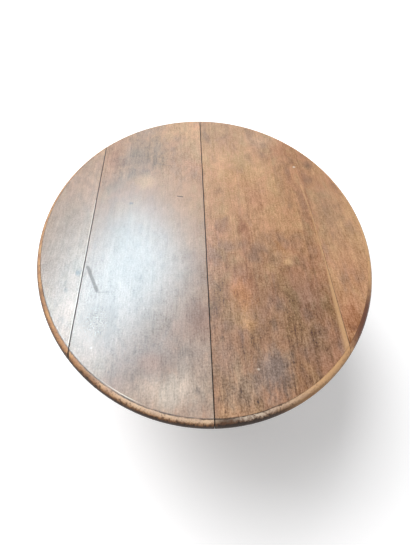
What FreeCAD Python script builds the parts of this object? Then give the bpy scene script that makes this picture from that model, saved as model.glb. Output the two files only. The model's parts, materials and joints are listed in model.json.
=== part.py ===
import FreeCAD, Part
import math
import os

# An oval drop-leaf dining table that also draws apart at its middle seam.
# X runs across the seams, Y along them, Z up; the origin is on the floor under the middle of the top.
# Every length is in millimetres.

# The whole table
table_height = 740.0
top_length = 1250.0
top_width = 1000.0
top_thickness = 25.0

# The top's moulded edge, from the flat inwards line to the underside
moulding_width = 14.0
moulding_step = 1.5
moulding_drop = 15.0
lower_round = 5.0

# The seams: one in the middle, and a rule joint at each leaf
seam_offset = 348.5
centre_gap = 1.0
rule_gap = 0.4
rule_fillet = 4.0
arris = 0.6
running_gap = 0.3

# The iron hinges under each rule joint
knuckle_radius = 3.0
hinge_width = 40.0
plate_thickness = 2.2
half_plate_length = 22.0
leaf_plate_length = 44.0
hinge_pin_radius = 1.5
pin_fit = 0.05
finger_gap = 0.3
middle_finger_width = 14.0

# The screws
hinge_screw_head_radius = 3.6
hinge_screw_shank_radius = 1.7
hinge_screw_length = 14.0
wood_screw_head_radius = 4.5
wood_screw_shank_radius = 2.2
wood_screw_grip = 12.0
wood_screw_head_height = 3.0
screw_slot_width = 0.9
screw_slot_depth = 1.0
screw_fit = 0.05
counterbore_room = 1.0

# The rails and corner posts of the two half frames
rail_height = 100.0
rail_thickness = 22.0
rail_reveal = 2.0
rail_edge_easing = 2.0
frame_half_length = 400.0
leaf_swing_room = 3.5
corner_post = 50.0
post_easing = 1.5
tenon_thickness = 8.0
tenon_length = 30.0
tenon_shoulder = 9.0
joint_fit = 0.1
post_peg_radius = 4.0
post_peg_length = 27.0

# The blocks and slanting screws that hold the top to the rails
glue_block_side = 20.0
glue_block_length = 40.0
pocket_tilt_deg = 15.0
pocket_depth = 44.0
pocket_radius = 6.0

# The lopers that carry the leaves, the keepers they run in and the battens they meet
loper_offset = 235.0
loper_width = 34.0
loper_height = 24.0
loper_drop = 12.0
loper_reach = 48.0
loper_bevel_deg = 56.0
loper_nose = 9.0
loper_inner_end = 140.0
loper_easing = 1.0
finger_scoop_radius = 10.0
finger_scoop_depth = 5.0
keeper_length = 30.0
keeper_wall = 12.0
stop_peg_radius = 4.0
stop_peg_drop = 9.0
batten_thickness = 16.0
batten_width = 30.0
batten_reach = 92.0
batten_end_bevel = 8.0

# The sliding runners and the middle frame
centre_runner_offset = 146.0
centre_runner_width = 32.0
centre_runner_height = 50.0
centre_runner_half_length = 285.0
packing_thickness = 2.0
tongue_depth = 8.5
tongue_height = 11.4
half_runner_width = 24.0
runner_tail_length = 270.0
slide_travel = 260.0
travel_peg_radius = 5.0
travel_peg_drop = 12.0
cross_rail_width = 40.0
cross_rail_thickness = 25.0
bearer_width = 150.0
bearer_thickness = 45.0
bearer_relief = 16.0

# The turned pedestal column, its four scrolled feet and the iron strap under it
column_radius = 62.0
column_foot_z = 84.0
column_tenon = 44.0
column_tenon_height = 24.0
foot_reach = 330.0
foot_height = 232.0
foot_thickness = 46.0
dovetail_blend = 4.0
foot_flat = 55.0
dovetail_depth = 18.0
dovetail_neck = 16.0
dovetail_root = 24.0
dovetail_height = 118.0
strap_thickness = 3.0
strap_width = 26.0
strap_reach = 104.0
strap_boss_radius = 30.0
foot_turns_deg = {"right_far_foot": 45, "left_far_foot": 135, "left_near_foot": 225, "right_near_foot": 315}

# The dowels in the middle seam
dowel_radius = 5.0
dowel_length = 34.0
dowel_proud = 13.0
dowel_spread = 420.0

# One overrun for all cuts
over = 5.0

# The turned column, from its top down to its foot: how far down it is as a share of its height, its radius
# as a share of the column's radius at the foot, and the radius half way along where the stretch is rounded.
column_profile_shares = (
    (0.000, 0.94, None),
    (0.035, 0.94, 1.00),
    (0.035, 0.84, None),
    (0.085, 0.60, 0.66),
    (0.085, 0.68, None),
    (0.112, 0.68, 0.80),
    (0.112, 0.52, None),
    (0.300, 0.74, 0.55),
    (0.540, 0.76, 1.12),
    (0.610, 0.56, 0.62),
    (0.610, 0.74, None),
    (0.640, 0.74, 0.88),
    (0.640, 0.66, None),
    (0.680, 0.94, 0.74),
    (0.700, 1.00, None),
    (1.000, 1.00, None),
)

# A foot's upper and lower lines, from the column outwards: shares of its reach and of its height
foot_upper_shares = ((0.30, 0.985), (0.42, 0.90), (0.56, 0.60), (0.68, 0.32), (0.80, 0.20), (0.90, 0.19))
foot_toe_shares = ((0.985, 0.155), (0.995, 0.06), (0.94, 0.0))
foot_lower_shares = ((0.82, 0.0), (0.735, 0.055), (0.62, 0.20), (0.50, 0.345))

# Where like pieces sit, as shares of the stretch that holds them
peg_height_shares = (0.27, 0.73)
pocket_share_along_end_rail = (0.32, 0.76)
pocket_share_along_outer_rail = (-0.44, 0.0, 0.44)
block_share_along_end_rail = (0.14, 0.54)
block_share_between_runners = (-0.73, 0.73)
runner_screw_shares = (0.2, 0.5, 0.8)
hinge_screw_share = 0.27
leaf_screw_shares = (0.36, 0.78)
batten_screw_shares = (0.34, 0.74)
counterbore_share = 0.5
bearer_screw_share = 1 / 3
screw_brow_share = 0.75

# Heights and places that follow from the sizes above
top_z = table_height
underside_z = table_height - top_thickness
pin_z = underside_z + knuckle_radius
rule_radius = top_thickness - rule_fillet - knuckle_radius
cove_radius = rule_radius + running_gap
rail_bottom_z = underside_z - rail_height
rail_face_x = seam_offset - knuckle_radius - batten_thickness - leaf_swing_room
rail_back_x = rail_face_x - rail_thickness
post_face_x = rail_face_x + rail_reveal
post_inner_x = post_face_x - corner_post
post_inner_y = frame_half_length - corner_post
end_rail_face_y = frame_half_length - rail_reveal
end_rail_back_y = end_rail_face_y - rail_thickness
half_gap = centre_gap / 2
runner_top_z = underside_z - packing_thickness
runner_bottom_z = runner_top_z - centre_runner_height
centre_runner_inner_y = centre_runner_offset - centre_runner_width / 2
centre_runner_outer_y = centre_runner_offset + centre_runner_width / 2
inner_runner_edge_y = centre_runner_inner_y - running_gap - half_runner_width
cross_rail_inner_x = centre_runner_half_length - cross_rail_width
travel_peg_x = cross_rail_inner_x - travel_peg_radius - running_gap - slide_travel
loper_top_z = underside_z - loper_drop
loper_bottom_z = loper_top_z - loper_height
keeper_inner_x = loper_inner_end + 2 * stop_peg_radius + 2 * running_gap
keeper_outer_x = keeper_inner_x + keeper_length
bearer_bottom_z = runner_bottom_z - bearer_thickness
bevel_slope = math.tan(math.radians(loper_bevel_deg))
end_hinge_y = post_inner_y - hinge_width / 2
hinge_places = (-end_hinge_y, 0.0, end_hinge_y)

parts = {}


# Plain solids

def point(x, y, z):
    return FreeCAD.Vector(x, y, z)


def block(xs, ys, zs):
    """A rectangular block between two values on each axis."""
    low = point(min(xs), min(ys), min(zs))
    return Part.makeBox(abs(xs[1] - xs[0]), abs(ys[1] - ys[0]), abs(zs[1] - zs[0]), low)


def rod(start, end, radius):
    """A round bar between two points."""
    along = end.sub(start)
    return Part.makeCylinder(radius, along.Length, start, along)


def prism(outline, ys):
    """An outline in the XZ plane, as points and three-point arcs, drawn out along Y."""
    edges = []
    here = outline[0]
    for step in outline[1:] + [outline[0]]:
        if len(step) == 4:
            middle = point(step[0], 0, step[1])
            there = step[2:]
            edges.append(Part.Arc(point(here[0], 0, here[1]), middle, point(there[0], 0, there[1])).toShape())
        else:
            there = step
            edges.append(Part.makeLine(point(here[0], 0, here[1]), point(there[0], 0, there[1])))
        here = there
    face = Part.Face(Part.Wire(edges))
    face.translate(point(0, min(ys), 0))
    return face.extrude(point(0, abs(ys[1] - ys[0]), 0))


def joined(shapes):
    """Several solids made one, with the seams between them removed."""
    whole = shapes[0].fuse(shapes[1:]) if len(shapes) > 1 else shapes[0]
    return whole.removeSplitter()


def cut_away(shape, tools):
    """A solid with each of the tools taken out of it."""
    return shape.cut(tools) if tools else shape


def group(shapes):
    return Part.makeCompound(shapes)


def mirror_x(shape):
    return shape.mirror(point(0, 0, 0), point(1, 0, 0))


def mirror_y(shape):
    return shape.mirror(point(0, 0, 0), point(0, 1, 0))


def eased(shape, direction, size):
    """Chamfers the straight edges that run along one axis."""
    edges = []
    for edge in shape.Edges:
        if len(edge.Vertexes) == 2:
            run = edge.Vertexes[1].Point.sub(edge.Vertexes[0].Point)
            if run.Length > 0 and abs(abs(run.dot(direction)) - run.Length) < run.Length / 1000:
                edges.append(edge)
    return shape.makeChamfer(size, edges)


def placed(shape, turn_axis, turn_deg, place):
    """A copy of a shape made at the origin, turned about an axis through it and moved to its place."""
    copy = shape.copy()
    copy.Placement = FreeCAD.Placement(place, FreeCAD.Rotation(turn_axis, turn_deg)).multiply(copy.Placement)
    return copy


# Screws, made standing on their points with the head at the bottom, so that they drive upwards

def turned_about_z(outline):
    """A round solid from an outline of (radius, height) points on one side of the Z axis."""
    points = [point(r, 0, z) for r, z in outline]
    face = Part.Face(Part.makePolygon(points + [points[0]]))
    return face.revolve(point(0, 0, 0), point(0, 0, 1), 360)


def countersunk_screw(fit):
    """A flat-headed screw, or with a fit the hole that it goes in."""
    head = hinge_screw_head_radius + fit
    shank = hinge_screw_shank_radius + fit
    tip = hinge_screw_length - shank
    start = -over if fit else 0
    body = turned_about_z([
        (0, start), (head, start), (head, 0), (shank, plate_thickness),
        (shank, tip), (0, hinge_screw_length + fit)])
    if fit:
        return body
    slot = block((-head, head), (-screw_slot_width / 2, screw_slot_width / 2), (-over, screw_slot_depth))
    return body.cut(slot)


def pan_screw(length, fit):
    """A round-headed wood screw whose head seats at height zero, or with a fit the hole that it goes in."""
    shank = wood_screw_shank_radius + fit
    tip = length - shank
    if fit:
        return turned_about_z([(0, -over), (shank, -over), (shank, tip), (0, length + fit)])
    head = wood_screw_head_radius
    brow = head * screw_brow_share
    low = -wood_screw_head_height
    body = turned_about_z([
        (0, low), (brow, low), (head, low / 2), (head, 0), (shank, 0), (shank, tip), (0, length)])
    slot = block((-head, head), (-screw_slot_width / 2, screw_slot_width / 2),
                 (low - over, low + screw_slot_depth))
    return body.cut(slot)


def upright_screw(x, y, seat_z, length):
    """A wood screw driven straight up, with its hole and the counterbore below its head."""
    place = point(x, y, seat_z)
    screw = placed(pan_screw(length, 0), point(0, 0, 1), 0, place)
    hole = placed(pan_screw(length, screw_fit), point(0, 0, 1), 0, place)
    bore = wood_screw_head_radius + counterbore_room
    counterbore = rod(point(x, y, seat_z), point(x, y, -over), bore)
    return screw, hole, counterbore


# The oval top, before it is sawn into four boards

def oval_edge(z):
    half_length = top_length / 2
    half_width = top_width / 2
    if half_length >= half_width:
        oval = Part.Ellipse(point(0, half_length, z), point(half_width, 0, z), point(0, 0, z))
    else:
        oval = Part.Ellipse(point(half_width, 0, z), point(0, half_length, z), point(0, 0, z))
    return oval.toShape()


def moulded_oval():
    """The whole top as one board, with its moulded edge run round it."""
    edge = oval_edge(top_z)
    slab = Part.Face(Part.Wire([oval_edge(underside_z)])).extrude(point(0, 0, top_thickness))
    rim = top_width / 2
    flat = rim - moulding_width
    step_z = top_z - moulding_step
    drop_z = step_z - moulding_drop
    round_top_z = underside_z + lower_round
    quarter = math.sqrt(0.5)
    waste = [
        Part.makeLine(point(flat, 0, top_z + over), point(flat, 0, step_z)),
        Part.Arc(point(flat, 0, step_z),
                 point(flat + moulding_width * quarter, 0, drop_z + moulding_drop * quarter),
                 point(rim, 0, drop_z)).toShape(),
        Part.makeLine(point(rim, 0, drop_z), point(rim, 0, round_top_z)),
        Part.Arc(point(rim, 0, round_top_z),
                 point(rim - lower_round * (1 - quarter), 0, round_top_z - lower_round * quarter),
                 point(rim - lower_round, 0, underside_z)).toShape(),
        Part.makeLine(point(rim - lower_round, 0, underside_z),
                      point(rim - lower_round, 0, underside_z - over)),
        Part.makeLine(point(rim - lower_round, 0, underside_z - over),
                      point(rim + over, 0, underside_z - over)),
        Part.makeLine(point(rim + over, 0, underside_z - over), point(rim + over, 0, top_z + over)),
        Part.makeLine(point(rim + over, 0, top_z + over), point(flat, 0, top_z + over)),
    ]
    sweep = Part.BRepOffsetAPI.MakePipeShell(Part.Wire([edge]))
    sweep.setBiNormalMode(point(0, 0, 1))
    sweep.add(Part.Wire(waste))
    sweep.build()
    sweep.makeSolid()
    return slab.cut(sweep.shape())


def half_top_outline():
    """The section of the right half-top: the middle seam at one side, the rule joint's round at the other."""
    arc_end_x = math.sqrt(rule_radius ** 2 - knuckle_radius ** 2)
    arc_mid = rule_radius * math.sqrt(0.5)
    return [
        (half_gap, underside_z - over),
        (half_gap, top_z - arris),
        (half_gap + arris + over, top_z + over),
        (seam_offset - arris - over, top_z + over),
        (seam_offset, top_z - arris),
        (seam_offset, pin_z + rule_radius),
        (seam_offset + arc_mid, pin_z + arc_mid, seam_offset + arc_end_x, underside_z),
        (seam_offset + arc_end_x, underside_z - over),
    ]


def leaf_outline():
    """The section of the right leaf: the rule joint's hollow, and beyond it the rim."""
    nose_x = seam_offset + rule_gap
    nose_z = pin_z + math.sqrt(cove_radius ** 2 - rule_gap ** 2)
    arc_mid = cove_radius * math.sqrt(0.5)
    rim_x = top_width / 2 + over
    return [
        (seam_offset + cove_radius, underside_z - over),
        (seam_offset + cove_radius, pin_z),
        (seam_offset + arc_mid, pin_z + arc_mid, nose_x, nose_z),
        (nose_x, top_z - arris),
        (nose_x + arris + over, top_z + over),
        (rim_x, top_z + over),
        (rim_x, underside_z - over),
    ]


# The hinges: a short plate under the half-top, a long one under the leaf, and a pin

def half_plate(y):
    """The short hinge plate with its two outer fingers."""
    low_z = pin_z - knuckle_radius
    zs = (low_z, low_z + plate_thickness)
    back = seam_offset - knuckle_radius - finger_gap
    ends = (y - hinge_width / 2, y + hinge_width / 2)
    inner = middle_finger_width / 2 + finger_gap
    plate = block((seam_offset - half_plate_length, back), ends, zs)
    fingers = []
    for near, far in ((ends[0], y - inner), (y + inner, ends[1])):
        web = block((back, seam_offset), (near, far), zs)
        knuckle = rod(point(seam_offset, near, pin_z), point(seam_offset, far, pin_z), knuckle_radius)
        fingers += [web, knuckle]
    return joined([plate] + fingers)


def leaf_plate(y):
    """The long hinge plate with its middle finger."""
    low_z = pin_z - knuckle_radius
    zs = (low_z, low_z + plate_thickness)
    front = seam_offset + knuckle_radius + finger_gap
    side = middle_finger_width / 2
    plate = block((front, seam_offset + leaf_plate_length), (y - hinge_width / 2, y + hinge_width / 2), zs)
    web = block((seam_offset, front), (y - side, y + side), zs)
    knuckle = rod(point(seam_offset, y - side, pin_z), point(seam_offset, y + side, pin_z), knuckle_radius)
    return joined([plate, web, knuckle])


def hinge_pin(y, fit):
    reach = hinge_width / 2 + (over if fit else 0)
    return rod(point(seam_offset, y - reach, pin_z), point(seam_offset, y + reach, pin_z),
               hinge_pin_radius + fit)


def hinge_room(y):
    """What the half-top gives up so that the hinge lies flush and its long plate can swing down."""
    side = hinge_width / 2 + running_gap
    low_z = underside_z - over
    plate_z = pin_z - knuckle_radius + plate_thickness
    swing = block((seam_offset - knuckle_radius - finger_gap, seam_offset + cove_radius + over),
                  (y - side, y + side), (low_z, plate_z + running_gap))
    groove = rod(point(seam_offset, y - side, pin_z), point(seam_offset, y + side, pin_z),
                 knuckle_radius + finger_gap)
    seat = block((seam_offset - half_plate_length, seam_offset), (y - side, y + side), (low_z, plate_z))
    return [swing, groove, seat]


def leaf_hinge_seat(y):
    side = hinge_width / 2 + running_gap
    return block((seam_offset, seam_offset + leaf_plate_length), (y - side, y + side),
                 (underside_z - over, pin_z - knuckle_radius + plate_thickness))


def hinge_screw_places():
    """Where the hinge screws stand under the half-top and under the leaf."""
    half = []
    leaf = []
    half_x = seam_offset - (half_plate_length + knuckle_radius) / 2
    long_run = leaf_plate_length - cove_radius
    side = hinge_width * hinge_screw_share
    inner_x, outer_x = (seam_offset + cove_radius + long_run * share for share in leaf_screw_shares)
    for y in hinge_places:
        half += [(half_x, y - side), (half_x, y + side)]
        leaf += [(inner_x, y - side), (inner_x, y + side), (outer_x, y)]
    return half, leaf


def make_hinges():
    half_places, leaf_places = hinge_screw_places()

    def screws(places, fit):
        return [placed(countersunk_screw(fit), point(0, 0, 1), 0, point(x, y, underside_z))
                for x, y in places]

    half_holes = screws(half_places, screw_fit)
    leaf_holes = screws(leaf_places, screw_fit)
    bores = [hinge_pin(y, pin_fit) for y in hinge_places]
    half_plates = [cut_away(half_plate(y), bores + half_holes) for y in hinge_places]
    leaf_plates = [cut_away(leaf_plate(y), bores + leaf_holes) for y in hinge_places]
    parts["right_half_hinge_plates"] = group(half_plates)
    parts["right_leaf_hinge_plates"] = group(leaf_plates)
    parts["right_hinge_pins"] = group([hinge_pin(y, 0) for y in hinge_places])
    parts["right_half_hinge_screws"] = group(screws(half_places, 0))
    return screws(leaf_places, 0), half_holes, leaf_holes


# The lopers and what they meet

def batten_outline():
    """The batten's section: its inner end is bevelled to sit on the loper's nose."""
    slant_room = running_gap / math.sin(math.radians(loper_bevel_deg))
    start_x = seam_offset + loper_reach - loper_drop / bevel_slope + slant_room
    low_z = underside_z - batten_thickness
    end_x = seam_offset + batten_reach
    return [
        (start_x, underside_z),
        (start_x + batten_thickness / bevel_slope, low_z),
        (end_x - batten_end_bevel, low_z),
        (end_x, low_z + batten_end_bevel),
        (end_x, underside_z),
    ]


def make_battens():
    """The far batten of the right leaf, its screws, and their holes."""
    solid = prism(batten_outline(), (loper_offset - batten_width / 2, loper_offset + batten_width / 2))
    low_z = underside_z - batten_thickness
    seat_z = low_z + wood_screw_head_height + counterbore_room
    flat_start = loper_reach + loper_nose
    screws = []
    holes = []
    bores = []
    for share in batten_screw_shares:
        x = seam_offset + flat_start + (batten_reach - flat_start) * share
        screw, hole, bore = upright_screw(x, loper_offset, seat_z, underside_z - seat_z + wood_screw_grip)
        screws.append(screw)
        holes.append(hole)
        bores.append(bore)
    solid = cut_away(solid, holes + bores)
    parts["right_leaf_battens"] = group([solid, mirror_y(solid)])
    return screws + [mirror_y(screw) for screw in screws], holes + [mirror_y(hole) for hole in holes]


def loper_section(extra):
    """The loper's width and height, or with some extra the slot that it runs in."""
    half = loper_width / 2 + extra
    return (loper_offset - half, loper_offset + half), (loper_bottom_z - extra, loper_top_z + extra)


def make_lopers():
    """The far right loper with its stop peg, and the keeper that holds it up."""
    ys, zs = loper_section(0)
    tip_x = seam_offset + loper_reach + loper_nose / bevel_slope
    solid = prism([
        (loper_inner_end, zs[0]),
        (loper_inner_end, zs[1]),
        (seam_offset + loper_reach, zs[1]),
        (tip_x, zs[1] - loper_nose),
        (tip_x, zs[0]),
    ], ys)
    solid = eased(solid, point(1, 0, 0), loper_easing)
    scoop_x = seam_offset + loper_reach - finger_scoop_radius
    scoop_z = zs[0] - finger_scoop_radius + finger_scoop_depth
    scoop = rod(point(scoop_x, ys[0] - over, scoop_z), point(scoop_x, ys[1] + over, scoop_z),
                finger_scoop_radius)
    peg_x = loper_inner_end + stop_peg_radius
    peg_low = zs[0] - stop_peg_drop
    peg = rod(point(peg_x, loper_offset, peg_low), point(peg_x, loper_offset, zs[1] - loper_nose),
              stop_peg_radius)
    hole = rod(point(peg_x, loper_offset, zs[0] - over),
               point(peg_x, loper_offset, zs[1] - loper_nose + running_gap), stop_peg_radius + screw_fit)
    stop_flat = block((loper_inner_end - over, loper_inner_end), ys, (peg_low - over, zs[1]))
    return cut_away(solid, [scoop, hole]), cut_away(peg, [stop_flat])


def make_keeper():
    """The block under the top that the loper slides through, with its two screws."""
    ys, zs = loper_section(running_gap)
    low_z = zs[0] - keeper_wall
    solid = block((keeper_inner_x, keeper_outer_x), (ys[0] - keeper_wall, ys[1] + keeper_wall),
                  (low_z, underside_z))
    slot = block((keeper_inner_x - over, keeper_outer_x + over), ys, zs)
    seat_z = low_z + (underside_z - low_z) * counterbore_share
    x = (keeper_inner_x + keeper_outer_x) / 2
    screws = []
    holes = []
    bores = []
    for y in (ys[0] - keeper_wall / 2, ys[1] + keeper_wall / 2):
        screw, hole, bore = upright_screw(x, y, seat_z, underside_z - seat_z + wood_screw_grip)
        screws.append(screw)
        holes.append(hole)
        bores.append(bore)
    return cut_away(solid, [slot] + holes + bores), screws, holes


# The half frames

def corner_post_block():
    """The far right corner post, before its mortises are cut."""
    post = block((post_inner_x, post_face_x), (post_inner_y, frame_half_length), (rail_bottom_z, underside_z))
    return eased(post, point(0, 0, 1), post_easing)


def tenon_boxes(fit):
    """The tenons of the outer rail and of the far end rail, or with a fit their mortises in the post."""
    zs = (rail_bottom_z + tenon_shoulder - fit, underside_z - tenon_shoulder + fit)
    half = tenon_thickness / 2 + fit
    deep = tenon_length + (running_gap if fit else 0)
    mid_x = (rail_back_x + rail_face_x) / 2
    mid_y = (end_rail_back_y + end_rail_face_y) / 2
    outer = block((mid_x - half, mid_x + half), (post_inner_y, post_inner_y + deep), zs)
    end = block((post_inner_x, post_inner_x + deep), (mid_y - half, mid_y + half), zs)
    return outer, end


def post_pegs(fit):
    """The pegs through both tenons in the far right post, or with a fit the holes for them."""
    radius = post_peg_radius + fit
    deep = post_peg_length + (running_gap if fit else 0)
    proud = over if fit else 0
    pegs = []
    for share in peg_height_shares:
        z = rail_bottom_z + rail_height * share
        side_y = post_inner_y + tenon_length / 2
        end_x = post_inner_x + tenon_length / 2
        pegs.append(rod(point(post_face_x + proud, side_y, z),
                        point(post_face_x - deep, side_y, z), radius))
        pegs.append(rod(point(end_x, frame_half_length + proud, z),
                        point(end_x, frame_half_length - deep, z), radius))
    return pegs


def pocket_screw(place, turn_axis):
    """A screw that slants up through a rail into the top, its hole, and the pocket below its head.

    The place is where it leaves the rail's top edge.
    """
    length = pocket_depth + wood_screw_grip
    lean = FreeCAD.Rotation(turn_axis, pocket_tilt_deg).multVec(point(0, 0, 1))
    seat = place.sub(lean * pocket_depth)
    screw = placed(pan_screw(length, 0), turn_axis, pocket_tilt_deg, seat)
    hole = placed(pan_screw(length, screw_fit), turn_axis, pocket_tilt_deg, seat)
    pocket = rod(seat, seat.sub(lean * pocket_depth), pocket_radius)
    return screw, hole, pocket


def make_outer_rail():
    """The rail under the right rule joint, slotted for the two lopers."""
    body = block((rail_back_x, rail_face_x), (-post_inner_y, post_inner_y), (rail_bottom_z, underside_z))
    low_edges = [edge for edge in body.Edges
                 if abs(edge.CenterOfMass.z - rail_bottom_z) < joint_fit and edge.Length > rail_height]
    body = body.makeChamfer(rail_edge_easing, low_edges)
    tenon = tenon_boxes(0)[0]
    body = joined([body, tenon, mirror_y(tenon)])
    ys, zs = loper_section(running_gap)
    slot = block((rail_back_x - over, rail_face_x + over), ys, zs)
    screws = []
    tools = [slot, mirror_y(slot)]
    holes = []
    mid_x = (rail_back_x + rail_face_x) / 2
    for share in pocket_share_along_outer_rail:
        place = point(mid_x, post_inner_y * share, underside_z)
        screw, hole, pocket = pocket_screw(place, point(0, 1, 0))
        screws.append(screw)
        holes.append(hole)
        tools += [hole, pocket]
    return body, tools, screws, holes


def make_end_rail():
    """The far rail of the right half frame, from the post to the middle seam."""
    body = block((half_gap, post_inner_x), (end_rail_back_y, end_rail_face_y), (rail_bottom_z, underside_z))
    low_edges = [edge for edge in body.Edges
                 if abs(edge.CenterOfMass.z - rail_bottom_z) < joint_fit and edge.Length > rail_height]
    body = body.makeChamfer(rail_edge_easing, low_edges)
    body = joined([body, tenon_boxes(0)[1]])
    screws = []
    tools = []
    holes = []
    mid_y = (end_rail_back_y + end_rail_face_y) / 2
    for share in pocket_share_along_end_rail:
        place = point(post_inner_x * share, mid_y, underside_z)
        screw, hole, pocket = pocket_screw(place, point(-1, 0, 0))
        screws.append(screw)
        holes.append(hole)
        tools += [hole, pocket]
    return body, tools, screws, holes


def glue_blocks():
    """Three-cornered blocks in the angle between the rails and the top, on the far and outer sides."""
    side = glue_block_side
    half = glue_block_length / 2
    blocks = []
    outline = [(rail_back_x, underside_z), (rail_back_x, underside_z - side),
               (rail_back_x - side, underside_z)]
    for share in block_share_between_runners:
        y = inner_runner_edge_y * share
        blocks.append(prism(outline, (y - half, y + half)))
    along_rail = prism([(end_rail_back_y, underside_z), (end_rail_back_y, underside_z - side),
                        (end_rail_back_y - side, underside_z)], (-half, half))
    for share in block_share_along_end_rail:
        turned = placed(along_rail, point(0, 0, 1), 90, point(post_inner_x * share, 0, 0))
        blocks += [turned, mirror_y(turned)]
    return blocks


# The sliding runners

def tongue_zs(extra):
    mid = (runner_top_z + runner_bottom_z) / 2
    return mid - tongue_height / 2 - extra, mid + tongue_height / 2 + extra


def half_runner(outer):
    """A far runner of the right half: beside the middle runner, on its outer or its inner side."""
    xs = (-runner_tail_length, rail_back_x)
    zs = (runner_bottom_z + running_gap, runner_top_z)
    if outer:
        near = centre_runner_outer_y + running_gap
        far = near + half_runner_width
        tongue_ys = (near - tongue_depth, near)
    else:
        near = centre_runner_inner_y - running_gap
        far = near - half_runner_width
        tongue_ys = (near, near + tongue_depth)
    body = joined([block(xs, (near, far), zs), block(xs, tongue_ys, tongue_zs(0))])
    mid_y = (near + far) / 2
    packing = block((half_gap + packing_thickness, rail_back_x), (near, far), (runner_top_z, underside_z))
    peg_low = zs[0] - travel_peg_drop
    peg_high = zs[0] + travel_peg_drop
    peg = rod(point(travel_peg_x, mid_y, peg_low), point(travel_peg_x, mid_y, peg_high), travel_peg_radius)
    peg_hole = rod(point(travel_peg_x, mid_y, zs[0] - over),
                   point(travel_peg_x, mid_y, peg_high + running_gap), travel_peg_radius + screw_fit)
    seat_z = zs[0] + centre_runner_height * counterbore_share
    screws = []
    holes = []
    bores = []
    for share in runner_screw_shares:
        screw, hole, bore = upright_screw(rail_back_x * share, mid_y, seat_z,
                                          underside_z - seat_z + wood_screw_grip)
        screws.append(screw)
        holes.append(hole)
        bores.append(bore)
    body = cut_away(body, holes + bores + [peg_hole])
    packing = cut_away(packing, holes)
    return body, packing, peg, screws, holes


def make_centre_frame():
    """The frame that stays still in the middle: two grooved runners, two cross rails and a bearer."""
    xs = (-centre_runner_half_length, centre_runner_half_length)
    runner = block(xs, (centre_runner_inner_y, centre_runner_outer_y), (runner_bottom_z, runner_top_z))
    groove_zs = tongue_zs(running_gap)
    deep = tongue_depth
    grooves = [
        block((xs[0] - over, xs[1] + over),
              (centre_runner_inner_y - over, centre_runner_inner_y + deep), groove_zs),
        block((xs[0] - over, xs[1] + over),
              (centre_runner_outer_y - deep, centre_runner_outer_y + over), groove_zs),
    ]
    cross_half = centre_runner_outer_y + half_runner_width + running_gap
    cross_zs = (runner_bottom_z - cross_rail_thickness, runner_bottom_z)
    cross = block((cross_rail_inner_x, centre_runner_half_length), (-cross_half, cross_half), cross_zs)
    bearer = block((-bearer_width / 2, bearer_width / 2), (-centre_runner_outer_y, centre_runner_outer_y),
                   (bearer_bottom_z, runner_bottom_z))
    relief = block((-bearer_width / 2 - over, bearer_width / 2 + over),
                   (-centre_runner_inner_y, centre_runner_inner_y),
                   (runner_bottom_z - bearer_relief, runner_bottom_z + over))
    mortise = column_tenon_block(joint_fit)

    screws = []
    holes = []
    bores = []
    places = []
    for x in (cross_rail_inner_x + cross_rail_width / 2, -cross_rail_inner_x - cross_rail_width / 2):
        for y in (centre_runner_offset, -centre_runner_offset):
            places.append((x, y, cross_zs[0] + cross_rail_thickness * counterbore_share))
    for x in (bearer_width * bearer_screw_share, -bearer_width * bearer_screw_share):
        for y in (centre_runner_offset, -centre_runner_offset):
            places.append((x, y, bearer_bottom_z + bearer_thickness * counterbore_share))
    for x, y, seat_z in places:
        screw, hole, bore = upright_screw(x, y, seat_z, runner_bottom_z - seat_z + wood_screw_grip)
        screws.append(screw)
        holes.append(hole)
        bores.append(bore)
    far = cut_away(runner, grooves + holes)
    parts["far_centre_runner"] = far
    parts["near_centre_runner"] = mirror_y(far)
    right_cross = cut_away(cross, holes + bores)
    parts["cross_rails"] = group([right_cross, mirror_x(right_cross)])
    parts["centre_bearer"] = cut_away(bearer, [relief, mortise] + holes + bores)
    return screws


# The pedestal

def column_tenon_block(fit):
    """The square tenon on top of the column, or with a fit its mortise in the bearer."""
    half = column_tenon / 2 + fit
    start_z = bearer_bottom_z - (over if fit else joint_fit)
    return block((-half, half), (-half, half), (start_z, bearer_bottom_z + column_tenon_height + fit))


def turned_column():
    height = bearer_bottom_z - column_foot_z
    turned = [(column_radius * r, bearer_bottom_z - height * s, column_radius * m if m else None)
              for s, r, m in column_profile_shares]
    edges = [Part.makeLine(point(0, 0, turned[0][1]), point(turned[0][0], 0, turned[0][1]))]
    for (r0, z0, _), (r1, z1, bulge) in zip(turned, turned[1:]):
        start = point(r0, 0, z0)
        end = point(r1, 0, z1)
        if bulge:
            edges.append(Part.Arc(start, point(bulge, 0, (z0 + z1) / 2), end).toShape())
        else:
            edges.append(Part.makeLine(start, end))
    edges.append(Part.makeLine(point(turned[-1][0], 0, column_foot_z), point(0, 0, column_foot_z)))
    edges.append(Part.makeLine(point(0, 0, column_foot_z), point(0, 0, bearer_bottom_z)))
    return Part.Face(Part.Wire(edges)).revolve(point(0, 0, 0), point(0, 0, 1), 360)


def dovetail(fit):
    """The tongue on a foot that slides up into the column, or with a fit the slot for it."""
    inner = column_radius - dovetail_depth - fit
    outer = column_radius + (over if fit else dovetail_blend)
    neck = dovetail_neck / 2 + fit
    root = dovetail_root / 2 + fit
    low = column_foot_z - (over if fit else 0)
    corners = [point(inner, -root, low), point(column_radius, -neck, low), point(outer, -neck, low),
               point(outer, neck, low), point(column_radius, neck, low), point(inner, root, low)]
    face = Part.Face(Part.makePolygon(corners + [corners[0]]))
    return face.extrude(point(0, 0, column_foot_z + dovetail_height + fit - low))


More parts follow.
